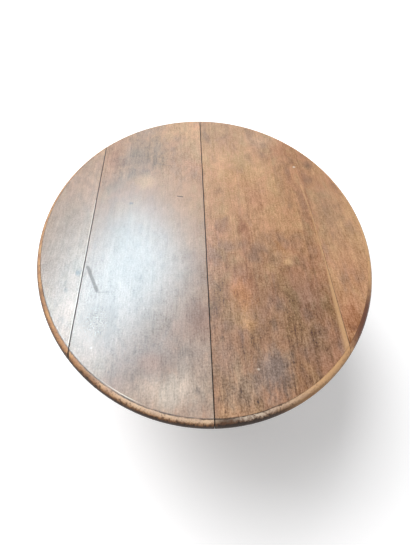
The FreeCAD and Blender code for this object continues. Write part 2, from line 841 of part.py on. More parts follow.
def scrolled_foot():
    """One foot, pointing along X, with its dovetail."""
    def spot(share):
        return point(foot_reach * share[0], 0, foot_height * share[1])

    root_low = point(column_radius / 2, 0, column_foot_z)
    root_high = point(column_radius / 2, 0, foot_height)
    root_brow = point(column_radius, 0, foot_height)
    flat_end = point(column_radius + foot_flat, 0, column_foot_z)
    upper = Part.BSplineCurve()
    upper.interpolate([root_brow] + [spot(share) for share in foot_upper_shares])
    toe = Part.BSplineCurve()
    toe.interpolate([spot(foot_upper_shares[-1])] + [spot(share) for share in foot_toe_shares])
    lower = Part.BSplineCurve()
    lower.interpolate([spot(share) for share in foot_lower_shares] + [flat_end])
    edges = [
        Part.makeLine(root_low, root_high),
        Part.makeLine(root_high, root_brow),
        upper.toShape(),
        toe.toShape(),
        Part.makeLine(spot(foot_toe_shares[-1]), spot(foot_lower_shares[0])),
        lower.toShape(),
        Part.makeLine(flat_end, root_low),
    ]
    face = Part.Face(Part.Wire(edges))
    face.translate(point(0, -foot_thickness / 2, 0))
    body = face.extrude(point(0, foot_thickness, 0))
    drum = rod(point(0, 0, -over), point(0, 0, foot_height + over), column_radius)
    body = body.cut(drum)
    return joined([body, dovetail(0)])


def make_pedestal():
    column = joined([turned_column(), column_tenon_block(0)])
    foot = scrolled_foot()
    strap_low = column_foot_z - strap_thickness
    strap_zs = (strap_low, column_foot_z)
    half = strap_width / 2
    arm = block((0, strap_reach), (-half, half), strap_zs)
    boss = rod(point(0, 0, strap_low), point(0, 0, column_foot_z), strap_boss_radius)
    up = point(0, 0, 1)
    middle = point(0, 0, 0)
    strap = joined([placed(arm, up, turn, middle) for turn in foot_turns_deg.values()] + [boss])
    screws = []
    holes = []
    screw_x = (column_radius + strap_reach) / 2
    for turn in foot_turns_deg.values():
        place = FreeCAD.Rotation(up, turn).multVec(point(screw_x, 0, 0))
        screw, hole, _ = upright_screw(place.x, place.y, strap_low, strap_thickness + 2 * wood_screw_grip)
        screws.append(screw)
        holes.append(hole)
    screw, hole, _ = upright_screw(0, 0, strap_low, strap_thickness + 2 * wood_screw_grip)
    screws.append(screw)
    holes.append(hole)
    slots = [placed(dovetail(joint_fit), up, turn, middle) for turn in foot_turns_deg.values()]
    parts["pedestal_column"] = cut_away(column, slots + [hole])
    parts["pedestal_strap"] = cut_away(strap, holes)
    for name, turn in foot_turns_deg.items():
        parts[name] = cut_away(placed(foot, up, turn, middle), holes)
    return screws


def make_table():
    blank = moulded_oval()
    reach = top_length / 2 + over
    right_half = blank.common(prism(half_top_outline(), (-reach, reach)))
    right_leaf = blank.common(prism(leaf_outline(), (-reach, reach)))

    leaf_hinge_screws, half_screw_holes, leaf_screw_holes = make_hinges()
    batten_screws, batten_holes = make_battens()
    parts["right_leaf_screws"] = group(leaf_hinge_screws + batten_screws)
    rooms = [tool for y in hinge_places for tool in hinge_room(y)]
    seats = [leaf_hinge_seat(y) for y in hinge_places]
    right_leaf = cut_away(right_leaf, seats + leaf_screw_holes + batten_holes)
    parts["right_leaf"] = right_leaf

    loper, loper_peg = make_lopers()
    parts["right_far_loper"] = loper
    parts["right_near_loper"] = mirror_y(loper)
    parts["right_far_loper_peg"] = loper_peg
    parts["right_near_loper_peg"] = mirror_y(loper_peg)
    keeper, keeper_screws, keeper_holes = make_keeper()
    parts["right_loper_keepers"] = group([keeper, mirror_y(keeper)])
    keeper_holes += [mirror_y(hole) for hole in keeper_holes]
    keeper_screws += [mirror_y(screw) for screw in keeper_screws]

    outer_rail, outer_tools, outer_screws, outer_holes = make_outer_rail()
    end_rail, end_tools, end_screws, end_holes = make_end_rail()
    peg_holes = post_pegs(screw_fit)
    all_peg_holes = peg_holes + [mirror_y(hole) for hole in peg_holes]
    parts["right_outer_rail"] = cut_away(outer_rail, outer_tools + all_peg_holes)
    far_end_rail = cut_away(end_rail, end_tools + peg_holes)
    parts["right_far_end_rail"] = far_end_rail
    parts["right_near_end_rail"] = mirror_y(far_end_rail)
    post = cut_away(corner_post_block(), list(tenon_boxes(joint_fit)) + peg_holes)
    parts["right_corner_posts"] = group([post, mirror_y(post)])
    pegs = post_pegs(0)
    parts["right_post_pegs"] = group(pegs + [mirror_y(peg) for peg in pegs])
    parts["right_glue_blocks"] = group(glue_blocks())
    end_holes += [mirror_y(hole) for hole in end_holes]
    end_screws += [mirror_y(screw) for screw in end_screws]

    frame_screws = outer_screws + end_screws + keeper_screws

    shared_holes = rooms + half_screw_holes + keeper_holes + outer_holes + end_holes
    for name in list(parts):
        parts[name.replace("right_", "left_", 1)] = mirror_x(parts[name])
    parts["centre_frame_screws"] = group(make_centre_frame() + make_pedestal())

    dowel_mid_z = underside_z + top_thickness / 2
    dowel_places = (-dowel_spread, 0.0, dowel_spread)
    inner_end = half_gap + dowel_proud - dowel_length
    dowels = [rod(point(inner_end, y, dowel_mid_z),
                  point(half_gap + dowel_proud, y, dowel_mid_z), dowel_radius) for y in dowel_places]
    dowel_seats = [rod(point(inner_end - running_gap, y, dowel_mid_z), point(over, y, dowel_mid_z),
                       dowel_radius + screw_fit) for y in dowel_places]
    dowel_bores = [rod(point(-over, y, dowel_mid_z),
                       point(half_gap + dowel_proud + dowel_radius, y, dowel_mid_z),
                       dowel_radius + running_gap) for y in dowel_places]
    parts["seam_dowels"] = group(dowels)

    for side, outer in (("right", False), ("left", True)):
        turn = mirror_x if side == "left" else (lambda shape: shape)
        body, packing, peg, screws, holes = half_runner(outer)
        parts[side + "_far_runner"] = turn(body)
        parts[side + "_near_runner"] = turn(mirror_y(body))
        parts[side + "_packing_strips"] = group([turn(packing), turn(mirror_y(packing))])
        parts[side + "_runner_pegs"] = group([turn(peg), turn(mirror_y(peg))])
        top_screws = frame_screws + screws + [mirror_y(screw) for screw in screws]
        parts[side + "_top_screws"] = group([turn(screw) for screw in top_screws])
        all_holes = shared_holes + holes + [mirror_y(hole) for hole in holes]
        board = turn(cut_away(right_half, all_holes))
        parts[side + "_half_top"] = cut_away(board, dowel_bores if side == "right" else dowel_seats)


make_table()
os.makedirs("parts", exist_ok=True)
for name, shape in sorted(parts.items()):
    for solid in shape.Solids:
        if not solid.isValid() or solid.Volume <= 0:
            print("not a sound solid:", name)
    print(name, len(shape.Solids), round(shape.Volume / 1000, 2))
    shape.exportStep("parts/" + name + ".step")
print(len(parts), "nodes")
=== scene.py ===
import json
import math

import bpy
from mathutils import Matrix, Vector


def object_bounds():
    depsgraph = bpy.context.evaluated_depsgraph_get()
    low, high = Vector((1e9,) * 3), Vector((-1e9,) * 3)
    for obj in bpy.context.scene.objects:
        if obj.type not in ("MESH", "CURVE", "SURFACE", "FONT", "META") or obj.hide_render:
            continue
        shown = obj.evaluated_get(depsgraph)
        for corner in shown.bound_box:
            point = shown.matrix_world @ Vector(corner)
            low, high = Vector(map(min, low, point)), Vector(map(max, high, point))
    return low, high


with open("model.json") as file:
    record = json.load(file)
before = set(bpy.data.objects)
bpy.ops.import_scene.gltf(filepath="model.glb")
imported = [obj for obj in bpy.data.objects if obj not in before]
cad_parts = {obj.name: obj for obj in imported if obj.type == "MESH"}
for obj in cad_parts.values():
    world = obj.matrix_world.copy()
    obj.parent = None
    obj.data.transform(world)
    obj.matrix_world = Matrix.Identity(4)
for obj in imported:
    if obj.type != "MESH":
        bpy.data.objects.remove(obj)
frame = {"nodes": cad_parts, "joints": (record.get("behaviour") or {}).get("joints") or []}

bl_info = {
    "name": "Oval dining table",
    "version": (1, 0, 0),
    "blender": (4, 5, 0),
    "location": "3D View > Sidebar > Table",
    "description": "Finishes, floor, lamps and camera for an oval drop-leaf table",
    "category": "Object",
}

# The table's sizes in metres, from the CAD; the leaves' seams have a gap of their own
CAD_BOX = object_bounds()
TOP = CAD_BOX[1].z
HALF_WIDTH = CAD_BOX[1].x
HALF_LENGTH = CAD_BOX[1].y
LEAF_HINGES = [joint for joint in frame["joints"] if joint["name"].endswith("leaf_hinge")]
SEAM = max(abs(hinge["pos_m"][0]) for hinge in LEAF_HINGES)
SEAM_GAP = 0.0004
SIDES = ("left", "right")
CORNERS = [side + end for side in SIDES for end in ("_far", "_near")]

# How far in from the outline the moulding starts, and two lines beside it: a dark one of painted
# shade and soiling, and a painted highlight
MOULDING = 0.0142
SHADE_AND_DIRT_LINE = 0.0150
HIGHLIGHT_LINE = 0.0172


def screen(red, green, blue):
    """A colour as a picture editor names it, turned into the linear values that a shader takes."""
    def linear(value):
        value /= 255
        return value / 12.92 if value <= 0.04045 else ((value + 0.055) / 1.055) ** 2.4
    return linear(red), linear(green), linear(blue)


def colour(name, description, *default):
    return bpy.props.FloatVectorProperty(name=name, description=description, subtype="COLOR",
                                         size=3, min=0, max=1, default=screen(*default))


def share(name, description, default):
    return bpy.props.FloatProperty(name=name, description=description, subtype="FACTOR",
                                   min=0, max=1, default=default)


def length(name, description, default):
    return bpy.props.FloatProperty(name=name, description=description, subtype="DISTANCE",
                                   unit="LENGTH", min=0, precision=5, default=default)


def turn(name, description, degrees):
    return bpy.props.FloatProperty(name=name, description=description, subtype="ANGLE",
                                   unit="ROTATION", default=math.radians(degrees))


def strength(name, description, default):
    return bpy.props.FloatProperty(name=name, description=description, min=0, default=default)


class TableTopFinish(bpy.types.PropertyGroup):
    """The polished boards."""
    ochre: colour("Ochre", "The light brown of most of the boards", 178, 128, 84)
    russet: colour("Russet", "The redder patches", 160, 102, 62)
    # Ashen also greys the left boards where the window's painted reflection lies
    ashen: colour("Ashen", "Patches greyed by water and light", 134, 108, 92)
    olive: colour("Olive", "Patches with a green cast", 166, 130, 82)
    grain: colour("Grain", "The dark lines of the grain", 104, 66, 40)
    amber: colour("Amber", "The warmest patches, where the old finish is thick", 184, 120, 58)
    # Umber also paints shade beside the right seam and at the near end of the right half
    umber: colour("Umber", "Knots, scratches and dark smudges", 66, 46, 36)
    # Honey also paints a highlight beside the right seam and light on the near right of the rim
    honey: colour("Honey", "Bare wood where an edge has worn", 214, 168, 118)
    # Pale also paints highlights and sheen: at the seams' arrises, beside the moulding, on its
    # shoulder and near the near edge
    pale: colour("Pale", "Edges rubbed white, and flecks of dried polish", 236, 224, 206)
    rim: colour("Rim", "The moulded edge", 207, 150, 91)
    stained: colour("Stained rim", "Where the moulded edge has kept its dark stain", 104, 60, 42)
    # This colour also paints shade: in the moulding's corner, under the moulding and in the seams'
    # gaps
    grime_and_shade: colour("Grime", "Old wax and dirt in the corners of the moulding", 42, 26, 15)
    raw: colour("Raw", "The unpolished underside", 138, 112, 86)
    roughness: share("Roughness", "How matt the wood under the wax is", 0.55)
    wax: share("Wax", "How much wax lies on the wood", 0.7)
    wax_roughness: share("Wax roughness", "How dull the wax is", 0.26)
    wear: share("Wear", "How strongly edges, spots and scratches show", 1.0)
    grain_width: length("Grain width", "Distance between streaks of grain", 0.007)
    sag: turn("Sag", "How far each half leans outwards, in its reflections", 1.8)


class FrameFinish(bpy.types.PropertyGroup):
    """The stained rails, column and feet, and the plain wood inside."""
    stained: colour("Stained", "Rails, posts, column and feet", 118, 78, 52)
    stained_dark: colour("Stained dark", "The dark grain of the same wood", 62, 38, 26)
    inner: colour("Inner", "Runners, lopers, battens and bearer", 176, 138, 96)
    inner_dark: colour("Inner dark", "The dark grain of the inner wood", 128, 92, 58)
    peg: colour("Peg", "Pegs and dowels", 190, 156, 110)
    roughness: share("Roughness", "How matt the rails and posts are", 0.38)
    polished_roughness: share("Polished roughness", "How matt the column and feet are", 0.304)
    inner_roughness: share("Inner roughness", "How matt the inner wood is", 0.6)
    peg_roughness: share("Peg roughness", "How matt pegs and dowels are", 0.55)
    polish: share("Polish", "How much polish lies on the column and feet", 0.3)


class MetalFinish(bpy.types.PropertyGroup):
    """The hinges, the strap and the screws."""
    iron: colour("Iron", "Hinges and strap", 74, 68, 64)
    rust: colour("Rust", "Rust on the iron", 110, 62, 38)
    steel: colour("Steel", "Screw heads", 128, 122, 114)
    rust_amount: share("Rust", "How much of the iron has rusted", 0.35)
    iron_roughness: share("Iron roughness", "How matt the hinges and strap are", 0.45)
    steel_roughness: share("Steel roughness", "How matt the screw heads are", 0.35)


class TableStage(bpy.types.PropertyGroup):
    """The floor, the lamps and the camera."""
    floor: colour("Floor", "The pale floor", 242, 242, 243)
    window: colour("Window", "The cool light of the window", 200, 234, 250)
    wall: colour("Wall", "The warm light of the far wall", 255, 238, 212)
    window_strength: strength("Window strength", "Brightness of the window", 29.6)
    side_strength: strength("Side strength", "Brightness of the high side light", 8.3)
    wall_strength: strength("Wall strength", "Brightness of the far wall", 3.4)
    sky_strength: strength("Sky strength", "Brightness of the room", 0.42)
    focal: bpy.props.FloatProperty(name="Focal length", description="The camera's lens",
                                   subtype="DISTANCE_CAMERA", min=1, default=29.72)
    pitch: turn("Pitch", "How far the camera looks down", 49.11)
    roll: turn("Roll", "How far the camera leans", 2.58)
    yaw: turn("Yaw", "How far the camera turns to the left", -3.91)


class Term:
    """A socket in a finish, so that its maths reads as arithmetic."""

    def __init__(self, finish, socket):
        self.finish = finish
        self.socket = socket

    def maths(self, operation, first, second):
        return self.finish.add("ShaderNodeMath", {"operation": operation}, {0: first, 1: second})

    def __add__(self, other):
        return self.maths("ADD", self, other)

    def __radd__(self, other):
        return self.maths("ADD", other, self)

    def __sub__(self, other):
        return self.maths("SUBTRACT", self, other)

    def __rsub__(self, other):
        return self.maths("SUBTRACT", other, self)

    def __mul__(self, other):
        return self.maths("MULTIPLY", self, other)

    def __rmul__(self, other):
        return self.maths("MULTIPLY", other, self)

    def __truediv__(self, other):
        return self.maths("DIVIDE", self, other)

    def __abs__(self):
        return self.maths("ABSOLUTE", self, 0.0)

    def up_to(self, other):
        return self.maths("MINIMUM", self, other)

    def at_least(self, other):
        return self.maths("MAXIMUM", self, other)


class Finish:
    """The nodes of one material, or of the room's light."""

    def __init__(self, owner, output="ShaderNodeOutputMaterial"):
        owner.use_nodes = True
        self.owner = owner
        self.tree = owner.node_tree
        self.tree.nodes.clear()
        self.output = self.tree.nodes.new(output)

    def add(self, kind, settings=None, sockets=None, out=0):
        """Adds a node: first its settings, then the values or links of its sockets."""
        node = self.tree.nodes.new(kind)
        for name, value in (settings or {}).items():
            setattr(node, name, value)
        for key, value in (sockets or {}).items():
            socket = node.inputs[key]
            if isinstance(value, Term):
                self.tree.links.new(value.socket, socket)
            elif socket.type == "RGBA" and len(value) == 3:
                socket.default_value = (*value, 1)
            else:
                socket.default_value = value
        return Term(self, node.outputs[out])

    def surface(self, shader):
        self.tree.links.new(shader.socket, self.output.inputs["Surface"])
        return self.owner

    def place(self):
        """Where a point lies, in the table's own frame."""
        return self.add("ShaderNodeTexCoord", out="Object")

    def axes(self, place):
        return [self.add("ShaderNodeSeparateXYZ", None, {0: place}, axis) for axis in range(3)]

    def vector(self, operation, first, second, out=0):
        return self.add("ShaderNodeVectorMath", {"operation": operation},
                        {0: first, 1: second}, out)

    def size(self, place):
        return self.add("ShaderNodeVectorMath", {"operation": "LENGTH"}, {0: place}, "Value")

    def scaled(self, place, amount):
        """A place moved from the middle, or a colour made darker or lighter."""
        return self.add("ShaderNodeVectorMath", {"operation": "SCALE"},
                        {0: place, "Scale": amount})

    def noise(self, place, cells, detail=3.0, roughness=0.55, shift=(0, 0, 0), out="Fac"):
        """Noise in cells of the given size along each axis, in metres."""
        spot = self.vector("DIVIDE", self.vector("ADD", place, shift), cells)
        return self.add("ShaderNodeTexNoise", None, {
            "Vector": spot, "Scale": 1.0, "Detail": detail, "Roughness": roughness}, out)

    def between(self, value, low, high, smooth=True):
        """0 where a value is at low or beyond, 1 where it is at high, and a rise between them."""
        rise = "SMOOTHSTEP" if smooth else "LINEAR"
        return self.add("ShaderNodeMapRange", {"interpolation_type": rise},
                        {"Value": value, "From Min": low, "From Max": high})

    def mix(self, factor, first, second):
        return self.add("ShaderNodeMix", {"data_type": "RGBA"}, {0: factor, 6: first, 7: second}, 2)

    def layers(self, base, layers):
        """Lays shades over a base, each by a value, where it starts, where it is full, how much."""
        for value, low, high, amount, shade in layers:
            base = self.mix(self.between(value, low, high) * amount, base, shade)
        return base

    def coated(self, base, roughness, height, metallic=0.0, coat=0.0, coat_roughness=0.2):
        """The finished material. The height, in metres, gives it its fine relief."""
        bump = self.add("ShaderNodeBump", None,
                        {"Strength": 1.0, "Distance": 1.0, "Height": height})
        return self.surface(self.add("ShaderNodeBsdfPrincipled", None, {
            "Base Color": base, "Roughness": roughness, "Metallic": metallic,
            "Specular IOR Level": 0.35, "Coat Weight": coat, "Coat Roughness": coat_roughness,
            "Normal": bump}))


def dress(names, material):
    """Gives CAD nodes their material."""
    for name in names:
        data = frame["nodes"][name].data
        data.materials.clear()
        data.materials.append(material)
        for polygon in data.polygons:
            polygon.material_index = 0


def named(places, *pieces):
    """The names of pieces that are there once at each side or corner."""
    return [place + piece for place in places for piece in pieces]


# Places on the top are X across the seams and Y along them, in metres from its middle.

# Stains in the wood, below its grain, with some painted shade and painted sheen among them: a patch
# has a ragged outline and a wash a smooth one.
# Each has its shade, how strong it is, its centre and its radii. Later ones lie over earlier.
STAINS_AND_PAINTED_LIGHT = {
    "left_leaf": (
        ("patch", "umber", 0.25, (-0.43, 0.02), (0.10, 0.36)),
        # Greyed wood, and also painted reflection: this wash greys the leaf where the window's
        # sheen lies
        ("wash", "ashen", 0.8, (-0.42, -0.09), (0.22, 0.55)),
        ("wash", "pale", 0.12, (-0.42, 0.0), (0.6, 1.0)),
        ("patch", "ashen", 0.41, (-0.38, 0.32), (0.078, 0.156)),
        ("patch", "umber", 0.8, (-0.362, -0.182), (0.0125, 0.0175)),
        ("patch", "umber", 0.5, (-0.385, -0.243), (0.01, 0.0125)),
    ),
    "left_half_top": (
        # Greyed wood, and also painted reflection: this wash greys the half where the window's
        # sheen lies
        ("wash", "ashen", 0.9, (-0.20, -0.20), (0.50, 0.85)),
        ("patch", "ashen", 0.55, (-0.209, 0.545), (0.104, 0.091)),
        ("patch", "ashen", 0.55, (-0.217, 0.40), (0.098, 0.221)),
        ("patch", "umber", 0.3, (-0.215, 0.340), (0.100, 0.100)),
        ("patch", "umber", 0.5, (-0.293, 0.351), (0.045, 0.060)),
        ("patch", "umber", 0.15, (-0.152, 0.414), (0.040, 0.050)),
        ("patch", "russet", 0.81, (-0.306, 0.381), (0.046, 0.143)),
        ("patch", "umber", 0.32, (-0.294, 0.214), (0.052, 0.091)),
        ("patch", "umber", 0.21, (-0.225, 0.27), (0.065, 0.078)),
        ("patch", "honey", 0.4, (-0.198, 0.228), (0.052, 0.055)),
        ("patch", "honey", 0.61, (-0.117, 0.506), (0.042, 0.065)),
        ("patch", "honey", 0.3, (-0.044, 0.52), (0.078, 0.169)),
        ("patch", "umber", 0.52, (-0.165, 0.366), (0.018, 0.047)),
        ("patch", "umber", 0.9, (-0.236, 0.116), (0.01, 0.01)),
        ("wash", "umber", 0.35, (-0.22, 0.42), (0.20, 0.26)),
        # Painted reflection, with some greying: these two patches stand in for the cool tail of the
        # window's sheen
        ("patch", "ashen", 0.4, (-0.03, -0.50), (0.14, 0.20)),
        ("patch", "pale", 0.18, (-0.03, -0.50), (0.14, 0.20)),
        # Painted sheen: a pale wash near the near edge, for the window's reflection there
        ("wash", "pale", 0.25, (-0.12, -0.545), (0.12, 0.06)),
        ("patch", "umber", 0.2, (-0.06, 0.47), (0.22, 0.22)),
        ("patch", "pale", 0.22, (-0.294, -0.425), (0.005, 0.006)),
        ("patch", "umber", 0.5, (-0.028, -0.336), (0.049, 0.072)),
        ("wash", "honey", 0.2, (-0.06, 0.12), (0.12, 0.20)),
        ("patch", "ashen", 0.65, (-0.10, -0.45), (0.143, 0.104)),
        ("patch", "russet", 0.5, (-0.025, -0.346), (0.06, 0.09)),
        ("wash", "umber", 0.2, (-0.261, -0.01), (0.10, 0.14)),
        ("wash", "umber", 0.2, (-0.218, -0.487), (0.08, 0.08)),
        ("wash", "umber", 0.12, (-0.036, -0.211), (0.08, 0.10)),
        ("wash", "honey", 0.15, (-0.047, -0.054), (0.08, 0.09)),
        ("wash", "umber", 0.15, (-0.030, -0.566), (0.08, 0.06)),
        ("wash", "umber", 0.25, (-0.149, -0.455), (0.09, 0.08)),
        ("wash", "umber", 0.2, (-0.025, -0.346), (0.06, 0.09)),
        ("patch", "umber", 0.25, (-0.136, -0.462), (0.045, 0.035)),
        ("patch", "russet", 0.4, (-0.149, -0.466), (0.05, 0.04)),
        ("patch", "pale", 0.15, (-0.075, -0.53), (0.07, 0.06)),
        ("patch", "umber", 0.6, (-0.035, -0.545), (0.01, 0.0175)),
    ),
    "right_half_top": (
        ("patch", "honey", 0.2, (0.22, 0.12), (0.22, 0.30)),
        ("patch", "ochre", 0.6, (0.178, -0.055), (0.06, 0.09)),
        ("wash", "umber", 0.28, (0.27, -0.29), (0.10, 0.13)),
        # Painted shade: darkens the near end of the right half, which shows less light than the far
        # end
        ("wash", "umber", 0.36, (0.18, -0.38), (0.45, 0.45)),
        ("wash", "umber", 0.3, (0.05, 0.52), (0.25, 0.22)),
        ("patch", "olive", 0.81, (0.140, 0.33), (0.072, 0.143)),
        ("patch", "honey", 0.2, (0.06, 0.36), (0.091, 0.20)),
        ("patch", "ashen", 0.25, (0.233, 0.443), (0.065, 0.098)),
        ("wash", "pale", 0.08, (0.226, 0.483), (0.10, 0.08)),
        ("patch", "russet", 0.51, (0.285, 0.425), (0.058, 0.065)),
        ("patch", "russet", 0.91, (0.124, -0.002), (0.034, 0.111)),
        ("patch", "russet", 0.61, (0.17, 0.14), (0.052, 0.13)),
        # Painted shade: two soft dark bands on the half beside the right leaf's seam
        ("patch", "umber", 0.32, (0.328, 0.13), (0.033, 0.13)),
        ("patch", "umber", 0.21, (0.322, -0.02), (0.029, 0.208)),
        ("patch", "russet", 0.81, (0.106, -0.223), (0.055, 0.091)),
        ("patch", "olive", 0.55, (0.082, -0.341), (0.072, 0.072)),
        ("patch", "umber", 0.65, (0.096, -0.287), (0.01, 0.0112)),
        ("patch", "umber", 0.6, (0.089, -0.361), (0.01, 0.0112)),
        ("patch", "umber", 0.35, (0.168, -0.367), (0.013, 0.039)),
        ("patch", "ashen", 0.3, (0.030, -0.459), (0.052, 0.117)),
        ("patch", "ashen", 0.5, (0.075, -0.555), (0.09, 0.06)),
        ("patch", "pale", 0.07, (0.06, -0.52), (0.09, 0.12)),
        ("patch", "ashen", 0.35, (0.26, -0.43), (0.08, 0.08)),
        ("patch", "ashen", 1.0, (0.150, -0.500), (0.065, 0.104)),
        ("patch", "umber", 0.32, (0.163, -0.494), (0.039, 0.058)),
        ("patch", "pale", 0.4, (0.111, -0.491), (0.0045, 0.004)),
        ("patch", "pale", 0.75, (0.329, 0.313), (0.0065, 0.0065)),
        ("patch", "amber", 0.6, (0.090, -0.270), (0.045, 0.100)),
        ("patch", "umber", 0.22, (0.096, -0.185), (0.030, 0.040)),
        ("patch", "umber", 0.16, (0.166, -0.097), (0.030, 0.030)),
        ("patch", "amber", 0.5, (0.215, -0.090), (0.040, 0.040)),
        ("patch", "honey", 0.3, (0.226, -0.113), (0.040, 0.035)),
        ("patch", "honey", 0.7, (0.233, -0.145), (0.020, 0.018)),
        ("patch", "honey", 0.35, (0.183, -0.168), (0.030, 0.030)),
        ("patch", "umber", 0.2, (0.271, -0.145), (0.040, 0.040)),
        ("patch", "grain", 0.45, (0.015, -0.321), (0.030, 0.050)),
        ("patch", "amber", 0.4, (0.103, -0.363), (0.035, 0.035)),
        ("patch", "honey", 0.4, (0.103, -0.363), (0.030, 0.030)),
        ("patch", "honey", 0.25, (0.185, 0.310), (0.080, 0.070)),
        ("patch", "amber", 0.3, (0.120, 0.260), (0.080, 0.120)),
    ),
    "right_leaf": (
        ("patch", "honey", 0.36, (0.44, -0.06), (0.14, 0.36)),
        ("wash", "pale", 0.05, (0.42, 0.0), (0.3, 0.6)),
        ("patch", "umber", 0.15, (0.364, -0.056), (0.022, 0.080)),
        ("patch", "umber", 0.49, (0.382, 0.325), (0.029, 0.039)),
        ("patch", "umber", 0.9, (0.375, -0.376), (0.0163, 0.015)),
        ("patch", "russet", 0.81, (0.372, -0.35), (0.052, 0.117)),
        ("patch", "ashen", 0.35, (0.40, 0.08), (0.065, 0.182)),
        ("patch", "russet", 0.41, (0.42, -0.16), (0.065, 0.156)),
    ),
}

# Marks over the grain, and painted highlights. A stroke runs from one point to another and has a
# width.
# Specks, flecks and an edge, a painted highlight along the arris beside the moulding, fill an oval.
# A band lies beside the leaf's seam, from where it starts to where it is widest, with its width
# there.
SCARS_AND_HIGHLIGHTS = {
    "left_leaf": (
        # Painted highlight: a pale line where the leaf's arris beside the seam catches the light
        ("stroke", "pale", 0.45, (-0.3515, 0.13), (-0.3515, -0.44), 0.0014),
    ),
    "left_half_top": (
        ("stroke", "umber", 0.4, (-0.160, 0.330), (-0.112, 0.318), 0.0035),
        ("stroke", "umber", 0.9, (-0.086, 0.151), (-0.070, 0.148), 0.0035),
        ("stroke", "umber", 0.6, (-0.338, -0.160), (-0.302, -0.246), 0.0068),
        ("stroke", "umber", 0.35, (-0.303, -0.252), (-0.262, -0.250), 0.0022),
        ("specks", "umber", 1.0, (-0.282, -0.345), (0.060, 0.090)),
        # Painted highlight along the arris beside the moulding, towards the near edge
        ("edge", "pale", 0.8, (-0.205, -0.540), (0.08, 0.06)),
        ("flecks", "pale", 0.35, (-0.295, -0.355), (0.060, 0.085)),
    ),
    "right_half_top": (
        # Worn bare wood and painted highlight: pale strokes and a band where the right seam's
        # rounded joint catches the light
        ("stroke", "honey", 0.35, (0.336, 0.21), (0.345, 0.04), 0.0045),
        ("stroke", "honey", 0.35, (0.345, 0.04), (0.345, -0.12), 0.0045),
        ("band", "honey", 0.65, -0.035, -0.445, 0.0225),
    ),
    "right_leaf": (),
}

# Marks on the moulded edge: the shade, how strong it is, the centre and the radii
RIM_MARKS = {
    "left_leaf": (
        ("stained", 0.6, (-0.455, -0.25), (0.03, 0.03)),
    ),
    "left_half_top": (
        ("umber", 0.4, (-0.30, -0.50), (0.05, 0.05)),
    ),
    "right_half_top": (
        # Painted sheen: a grey and pale band on the rim's upper part beside the middle seam
        ("ashen", 0.3, (0.08, -0.615), (0.11, 0.04)),
        ("pale", 0.6, (0.095, -0.612), (0.10, 0.04)),
        ("grime_and_shade", 0.9, (0.028, -0.622), (0.060, 0.04)),
        # Painted light: lightens the near right of the rim, which the side lamp lights less
        ("honey", 0.8, (0.29, -0.50), (0.16, 0.16)),
    ),
    "right_leaf": (
        ("honey", 0.9, (0.49, -0.05), (0.10, 0.35)),
        ("stained", 1.0, (0.42, -0.37), (0.13, 0.20)),
        ("stained", 0.9, (0.43, -0.35), (0.10, 0.14)),
    ),
}

# How strongly the tone of each board varies, and how much more it varies towards the near end
# and towards the far end of the left half
COARSENESS = {"left_leaf": 0.55, "left_half_top": 0.47, "right_half_top": 0.8, "right_leaf": 0.62}
NEAR_COARSENESS = 0.4
FAR_LEFT_COARSENESS = 0.45

# The grain's tone is added to a copy of the wood that is mixed with this grey, and no wood
# gets darker than the last shade
GREY, GREY_SHARE = (0.25, 0.25, 0.25), 0.35
DARKEST = (0.010, 0.007, 0.004)

# Where each board's grain is cut from, so that no two boards look the same
CUTS = {"left_leaf": (0.31, 0.17, 0.05), "left_half_top": (1.37, 0.71, 0.23),
        "right_half_top": (2.53, 1.19, 0.41), "right_leaf": (3.11, 1.73, 0.67)}


